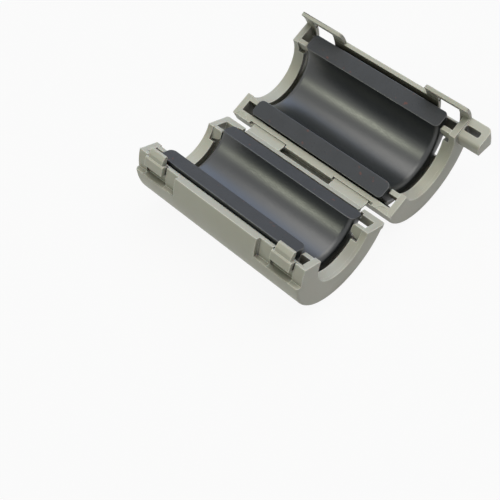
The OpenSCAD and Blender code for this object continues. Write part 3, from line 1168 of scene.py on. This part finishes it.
@dataclass(frozen=True)
class MouldedNylon(Finish):
    """Grey nylon 66, injection moulded in a spark-eroded mould.

    The mould leaves a fine even grain that breaks up highlights. Edges get a painted highlight,
    and gaps that see little of the sky get a painted brownish shade.
    """

    name: str = "moulded_nylon_grey"
    ior: float = 1.53
    # The real grain is 0.03 to 0.05 mm, too fine to show, so it is drawn coarser
    grain_mm: float = 0.14
    relief_mm: float = 0.03
    relief: float = 0.6
    roughness: Point = (0.44, 0.58)
    colour: str = "#b6b6ac"
    tint: str = "#adac9f"
    blotch_mm: float = 5.0
    # Painted shade: a dark brownish colour in gaps and corners that see little of the sky
    painted_crevice_shade: str = "#2f2b22"
    crevice_shade_mm: float = 2.6
    # Share of the sky seen, for all of the painted crevice shade and for none of it
    crevice_shade_sky: Point = (0.15, 0.75)
    # Painted highlight: a lighter colour along the edges, where light would catch their rounding
    painted_edge_highlight: str = "#e2e3da"
    edge_mm: float = 0.3
    # How far the normal leans near an edge, as a cosine, for none of the painted highlight and for
    # the most
    edge_lean: Point = (0.995, 0.9)
    highlight_most: float = 0.85
    # Light goes a little way into the nylon, which softens its shadows
    depth_mm: float = 0.6
    depth_share: float = 0.08
    mask_samples: int = 6

    def edge_highlight_share(self, tree: Tree) -> Socket:
        """Share of the painted highlight along edges.

        Args:
            tree: The material's nodes.

        Returns:
            0 on flat ground and up to the most painted highlight near an edge.
        """
        soft = add_node(tree, "Bevel", {"Radius": self.edge_mm * MM}, samples=self.mask_samples)
        normals = {0: soft.outputs["Normal"], 1: add_node(tree, "NewGeometry").outputs["Normal"]}
        lean = add_node(tree, "VectorMath", normals, operation="DOT_PRODUCT")
        return mapped(tree, lean.outputs["Value"], self.edge_lean, (0.0, self.highlight_most))

    def painted_shade_share(self, tree: Tree) -> Socket:
        """Share of the painted crevice shade.

        Args:
            tree: The material's nodes.

        Returns:
            0 in the open and 1 where little of the sky is seen.
        """
        reach = {"Distance": self.crevice_shade_mm * MM}
        sky = add_node(tree, "AmbientOcclusion", reach, samples=self.mask_samples)
        return mapped(tree, sky.outputs["AO"], self.crevice_shade_sky, (1.0, 0.0))

    def surface(self, tree: Tree, place: Socket) -> dict[str, object]:
        """Pattern and looks of the surface, as Finish.surface says."""
        grain = noise(tree, place, self.grain_mm, 2.0)
        body = mixed(tree, noise(tree, place, self.blotch_mm, 2.0), self.colour, self.tint)
        # Painted shade in the crevices, over the body colour
        shaded_body = mixed(tree, self.painted_shade_share(tree), body, self.painted_crevice_shade)
        return {
            # Painted highlight along the edges, laid over the shaded body colour
            "Base Color": mixed(tree, self.edge_highlight_share(tree), shaded_body, self.painted_edge_highlight),
            "Roughness": mapped(tree, grain, (0.0, 1.0), self.roughness),
            "Normal": self.bumped(tree, grain),
            "Subsurface Weight": self.depth_share,
            "Subsurface Scale": self.depth_mm * MM,
        }


@dataclass(frozen=True)
class Ferrite(Finish):
    """Nickel-zinc ferrite, dark, with patches of a second tone and round pores.

    Attributes:
        colour: The first tone.
        patch: The second tone.
        patch_mm: Size of the patches.
        patch_detail: How many times the patches' edges are broken up finer.
        pore: Colour inside the pores.
        pore_mm: Distance between neighbouring pores.
        pore_edge: Radii between which a pore fades out, as shares of that distance.
    """

    colour: str
    patch: str
    patch_mm: float
    patch_detail: float
    pore: str
    pore_mm: float
    pore_edge: Point = (0.06, 0.14)

    def body(self, tree: Tree, place: Socket) -> Socket:
        """Colour of the ferrite, with its patches and with pores of uneven depth.

        Args:
            tree: The material's nodes.
            place: Coordinates of the surface.

        Returns:
            The colour.
        """
        patches = noise(tree, place, self.patch_mm, self.patch_detail)
        plain = mixed(tree, patches, self.colour, self.patch)
        scale = 1 / (self.pore_mm * MM)
        cells = add_node(tree, "TexVoronoi", {"Vector": place, "Scale": scale})
        inside = mapped(tree, cells.outputs["Distance"], self.pore_edge, (1.0, 0.0))
        depth = add_node(tree, "SeparateColor", {"Color": cells.outputs["Color"]}).outputs["Red"]
        pores = add_node(tree, "Math", {0: depth, 1: inside}, operation="MULTIPLY")
        return mixed(tree, pores.outputs[0], plain, self.pore)


@dataclass(frozen=True)
class FiredFerrite(Ferrite):
    """The ferrite as it comes from the kiln: half glossy, with fine pores."""

    name: str = "fired_ferrite"
    ior: float = 1.75
    # The powder is pressed as granules of 0.1 to 0.3 mm, which still show after firing
    grain_mm: float = 0.22
    relief_mm: float = 0.02
    relief: float = 0.45
    roughness: Point = (0.3, 0.42)
    roughness_from: Point = (0.3, 0.7)
    colour: str = "#14181a"
    patch: str = "#1d2123"
    patch_mm: float = 3.0
    patch_detail: float = 4.0
    pore: str = "#050606"
    pore_mm: float = 1.4

    def surface(self, tree: Tree, place: Socket) -> dict[str, object]:
        """Pattern and looks of the surface, as Finish.surface says."""
        grain = noise(tree, place, self.grain_mm, 3.0)
        return {
            "Base Color": self.body(tree, place),
            "Roughness": mapped(tree, grain, self.roughness_from, self.roughness),
            "Normal": self.bumped(tree, grain),
        }


@dataclass(frozen=True)
class GroundFerrite(Ferrite):
    """The ferrite where the halves meet, ground flat: grey and dull, with fine scratches."""

    name: str = "ground_ferrite"
    # Open pores and scratches lower the index that the surface acts with
    ior: float = 1.45
    # Real scratches are 0.02 to 0.05 mm apart, drawn coarser so that they show
    grain_mm: float = 0.12
    relief_mm: float = 0.05
    relief: float = 1.0
    roughness: float = 0.7
    colour: str = "#3d3f43"
    patch: str = "#313336"
    patch_mm: float = 2.5
    patch_detail: float = 3.0
    pore: str = "#141516"
    pore_mm: float = 0.8
    # The wheel crosses the face at this slant, in radians, and draws the scratches out
    slant: float = 0.35
    stretch: float = 0.08
    # A few rusty stains where the wheel left iron in the pores
    rust: str = "#6b4138"
    rust_mm: float = 1.1
    rust_from: Point = (0.66, 0.74)
    rust_most: float = 0.7

    def surface(self, tree: Tree, place: Socket) -> dict[str, object]:
        """Pattern and looks of the surface, as Finish.surface says."""
        scale = (1.0, self.stretch, self.stretch)
        turned = {"Vector": place, "Rotation": (0.0, 0.0, self.slant), "Scale": scale}
        along = add_node(tree, "Mapping", turned).outputs["Vector"]
        scratches = noise(tree, along, self.grain_mm, 3.0)
        spots = noise(tree, place, self.rust_mm, 4.0)
        stains = mapped(tree, spots, self.rust_from, (0.0, self.rust_most))
        return {
            "Base Color": mixed(tree, stains, self.body(tree, place), self.rust),
            "Roughness": self.roughness,
            "Normal": self.bumped(tree, scratches),
        }


# ---- Studio ----


@dataclass(frozen=True)
class SoftLamp:
    """Square soft lamp that faces the object.

    Attributes:
        name: Name of the lamp.
        azimuth: Where it stands round the object, in degrees; 0 is at -Y and 90 at +X.
        elevation: Its height above the horizon, in degrees.
        distance: Distance from the object, in metres.
        size: Side of the square, in metres.
        watts: Its power.
        colour: Colour of its light.
    """

    name: str
    azimuth: float
    elevation: float
    distance: float
    size: float
    watts: float
    colour: str

    def build(self, target: Vector) -> None:
        """Adds the lamp, aimed at the target.

        Args:
            target: The point that it faces.
        """
        data = bpy.data.lights.new(self.name, "AREA")
        data.shape = "SQUARE"
        data.size = self.size
        data.energy = self.watts
        data.color = linear(self.colour)[:3]
        lamp = add_object(self.name, data)
        away = direction(self.azimuth, self.elevation)
        lamp.location = target + away * self.distance
        lamp.rotation_euler = away.to_track_quat("Z", "Y").to_euler()


def direction(azimuth: float, elevation: float) -> Vector:
    """Unit vector from the object to a place round it, in degrees; azimuth 0 is at -Y."""
    a, e = math.radians(azimuth), math.radians(elevation)
    return Vector((math.sin(a) * math.cos(e), -math.cos(a) * math.cos(e), math.sin(e)))


@dataclass
class Studio:
    """Pale floor, soft lamps and the camera."""

    floor_z: float
    target: Vector = field(default_factory=lambda: Vector((7.70, -10.97, 0.0)) * MM)
    azimuth: float = 43.99
    elevation: float = 54.42
    roll: float = -1.06
    distance: float = 0.14005
    lens: float = 65.04
    floor_half: float = 1.5
    floor_colour: str = "#c4c4c4"
    # Share of plain white in the floor as the camera and reflections see it
    floor_glow: float = 0.92
    world_strength: float = 0.1
    lamps: tuple[SoftLamp, ...] = (
        SoftLamp("main_lamp", -140, 38, 1.00, 0.62, 1.7, "#a4c8ff"),
        SoftLamp("key_lamp", -28, 36, 1.20, 0.26, 3.1, "#faffe4"),
        SoftLamp("top_lamp", 150, 75, 0.80, 0.90, 6.0, "#fffdf8"),
    )

    def build(self) -> None:
        """Builds the floor, the world, the lamps and the camera."""
        self.build_floor()
        self.build_world()
        for lamp in self.lamps:
            lamp.build(Vector())
        self.build_camera()

    def seen_directly(self, tree: Tree) -> Socket:
        """1 for rays that show the background: from the camera, or through gloss or glass.

        Args:
            tree: The node tree of the floor or the world.

        Returns:
            1 for those rays and 0 for the others.
        """
        path = add_node(tree, "LightPath")
        seen = path.outputs["Is Camera Ray"]
        for ray in ("Is Glossy Ray", "Is Transmission Ray"):
            either = add_node(tree, "Math", {0: seen, 1: path.outputs[ray]}, operation="MAXIMUM")
            seen = either.outputs[0]
        return seen

    def build_floor(self) -> None:
        """Adds the pale floor, which keeps the object's shadow."""
        s = self.floor_half
        mesh = bpy.data.meshes.new("floor")
        mesh.from_pydata([(-s, -s, 0), (s, -s, 0), (s, s, 0), (-s, s, 0)], [], [(0, 1, 2, 3)])
        floor = add_object("floor", mesh)
        floor.location.z = self.floor_z
        material = bpy.data.materials.new("floor_card")
        tree = empty_tree(material)
        card = add_node(tree, "BsdfDiffuse", {"Color": linear(self.floor_colour)})
        glow = add_node(tree, "Emission", {"Color": (1, 1, 1, 1), "Strength": 1.0})
        lift = mapped(tree, self.seen_directly(tree), (0.0, 1.0), (0.0, self.floor_glow))
        both = add_node(
            tree, "MixShader", {0: lift, 1: card.outputs["BSDF"], 2: glow.outputs["Emission"]}
        )
        add_node(tree, "OutputMaterial", {"Surface": both.outputs["Shader"]})
        mesh.materials.append(material)

    def build_world(self) -> None:
        """Sets a white background and even light from all round."""
        world = bpy.data.worlds.new("studio")
        bpy.context.scene.world = world
        tree = empty_tree(world)
        strength = mapped(tree, self.seen_directly(tree), (0.0, 1.0), (self.world_strength, 1.0))
        light = add_node(tree, "Background", {"Color": (1, 1, 1, 1), "Strength": strength})
        add_node(tree, "OutputWorld", {"Surface": light.outputs["Background"]})

    def build_camera(self) -> None:
        """Adds the camera and makes it the scene's."""
        data = bpy.data.cameras.new("camera")
        data.lens = self.lens
        data.clip_start = 0.005
        camera = add_object("camera", data)
        back = direction(self.azimuth, self.elevation)
        right = Vector((0, 0, 1)).cross(back).normalized()
        turn = Matrix.Rotation(math.radians(self.roll), 3, back)
        right = turn @ right
        up = back.cross(right)
        axes = Matrix((right, up, back)).transposed().to_4x4()
        camera.matrix_world = Matrix.Translation(self.target + back * self.distance) @ axes
        bpy.context.scene.camera = camera
        bpy.context.scene.view_settings.view_transform = "Standard"


# ---- Assembly ----


def ride(piece: bpy.types.Object, body: str, node: str) -> None:
    """Makes a piece move with a body and stand for a CAD node, which it hides.

    Args:
        piece: The piece.
        body: Name of the body.
        node: Name of the CAD node.
    """
    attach(piece, body)
    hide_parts(node)
    LOG.info("%s: %d faces, rides on %s", piece.name, len(piece.data.polygons), body)


def main() -> None:
    """Builds the bead piece by piece, then the studio round it."""
    logging.basicConfig(level=logging.INFO, format="%(message)s")
    sizes = Sizes()
    layout = Layout.from_frame()
    nylon = MouldedNylon().build()
    fired, ground = FiredFerrite().build(), GroundFerrite().build()
    base_at, lid_at = layout.half(sizes, False), layout.half(sizes, True)

    base = BaseHalf(sizes).build().placed("base_shell", base_at, [nylon])
    ride(base, "base", "base_case")
    lid = LidHalf(sizes).build().placed("lid_shell", lid_at, [nylon])
    ride(lid, "lid", "lid_case")

    raised = Matrix.Translation((0, 0, sizes.core_rise * MM))
    for name, body, where in (
        ("base_core", "base_core_body", base_at),
        ("lid_core", "lid_core_body", lid_at),
    ):
        core = HalfCore(sizes).build().placed(name + "_sleeve", where @ raised, [fired, ground])
        ride(core, body, name)

    for side in ("left", "right"):
        axes = [Axis.X] if side == "left" else []
        loop = LatchLoop(sizes).build().mirrored(*axes)
        piece = loop.placed(f"loop_{side}", lid_at, [nylon])
        ride(piece, f"loop_{side}", f"latch_loop_{side}")
        strap = HingeStrap(sizes, layout.fold).build().mirrored(*axes)
        piece = strap.placed(f"strap_{side}", layout.at_hinge(), [nylon])
        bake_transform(piece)
        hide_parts(f"hinge_strap_{side}")

    Studio(floor_z=CAD_BOX[0][2]).build()


if __name__ == "__main__":
    main()
